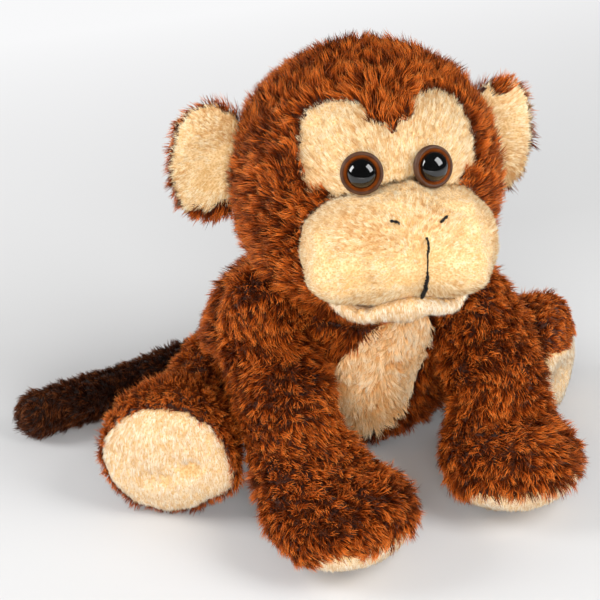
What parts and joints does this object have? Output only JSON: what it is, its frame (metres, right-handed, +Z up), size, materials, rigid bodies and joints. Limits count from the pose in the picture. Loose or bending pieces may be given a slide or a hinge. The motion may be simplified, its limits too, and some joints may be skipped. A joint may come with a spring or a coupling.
{
  "type": "sitting plush monkey toy",
  "caption": "Sitting plush monkey with long brown pile, a cream face, ears, belly and pads, a stitched muzzle, and a head, ears, limbs and a tail that turn at their seams.",
  "frame": {"origin": "middle of the flat under the seat, on the floor that the toy sits on", "axes": "+Z up; the toy faces -Y; +X is the toy's own left"},
  "size_m": [0.2467, 0.1947, 0.179],
  "materials": {
    "brown_pile": "long brown plush pile",
    "tail_pile": "short dark brown plush pile",
    "cream_pile": "short cream plush pile",
    "belly_pile": "longer cream plush pile",
    "pale_pile": "pale cream plush pile",
    "white_fibre": "loose white polyester stuffing",
    "bag_cloth": "woven bag of plastic pellets",
    "black_thread": "thick black embroidery thread",
    "brown_plastic": "moulded brown eye with a satin rim",
    "black_plastic": "polished black pupil",
    "white_plastic": "plain white locking washer"
  },
  "bodies": {
    "torso": {"torso_cover": "brown_pile", "belly_patch": "belly_pile", "torso_stuffing": "white_fibre", "seat_pellet_bag": "bag_cloth"},
    "neck": {"neck": "brown_pile"},
    "head": {"head_cover": "brown_pile", "eye_patch": "cream_pile", "head_stuffing": "white_fibre", "muzzle_cover": "cream_pile", "muzzle_stuffing": "white_fibre", "lower_lip": "pale_pile", "mouth_stitch": "black_thread", "nostril_stitch_left": "black_thread", "nostril_stitch_right": "black_thread", "eye_ring_left": "brown_plastic", "eye_ring_right": "brown_plastic", "eye_dome_left": "black_plastic", "eye_dome_right": "black_plastic", "eye_washer_left": "white_plastic", "eye_washer_right": "white_plastic"},
    "ear_left": {"ear_back_left": "brown_pile", "ear_front_left": "cream_pile"},
    "ear_right": {"ear_back_right": "brown_pile", "ear_front_right": "cream_pile"},
    "arm_left": {"arm_left": "brown_pile", "palm_left": "cream_pile"},
    "arm_right": {"arm_right": "brown_pile", "palm_right": "cream_pile"},
    "leg_left": {"leg_left": "brown_pile", "sole_left": "cream_pile"},
    "leg_right": {"leg_right": "brown_pile", "sole_right": "cream_pile"},
    "tail": {"tail": "tail_pile"}
  },
  "joints": [
    {"name": "neck_turn", "type": "hinge", "parent": "torso", "child": "neck", "pos_m": [0, -0.046, 0.074], "axis": [0, 0, 1], "range_deg": [-25, 25]},
    {"name": "head_nod", "type": "hinge", "parent": "neck", "child": "head", "pos_m": [0, -0.046, 0.074], "axis": [0.9816, -0.1908, 0], "range_deg": [-6, 6]},
    {"name": "ear_fold_left", "type": "hinge", "parent": "head", "child": "ear_left", "pos_m": [0.05247, -0.04296, 0.132], "axis": [0, 0, 1], "range_deg": [-15, 25]},
    {"name": "ear_fold_right", "type": "hinge", "parent": "head", "child": "ear_right", "pos_m": [-0.04751, -0.02352, 0.132], "axis": [0, 0, -1], "range_deg": [-15, 25]},
    {"name": "shoulder_lift_left", "type": "hinge", "parent": "torso", "child": "arm_left", "pos_m": [0.047, -0.042, 0.06], "axis": [-0.9023, 0, 0.4311], "range_deg": [0, 55]},
    {"name": "shoulder_lift_right", "type": "hinge", "parent": "torso", "child": "arm_right", "pos_m": [-0.0405, -0.038, 0.06], "axis": [-0.9023, 0, -0.4311], "range_deg": [0, 55]},
    {"name": "hip_swing_left", "type": "hinge", "parent": "torso", "child": "leg_left", "pos_m": [0.04, -0.002, 0.023], "axis": [0, 0, 1], "range_deg": [0, 25]},
    {"name": "hip_swing_right", "type": "hinge", "parent": "torso", "child": "leg_right", "pos_m": [-0.045, -0.002, 0.023], "axis": [0, 0, -1], "range_deg": [0, 25]},
    {"name": "tail_swing", "type": "hinge", "parent": "torso", "child": "tail", "pos_m": [-0.017, 0.04, 0.0165], "axis": [0, 0, 1], "range_deg": [-75, 0]}
  ]
}
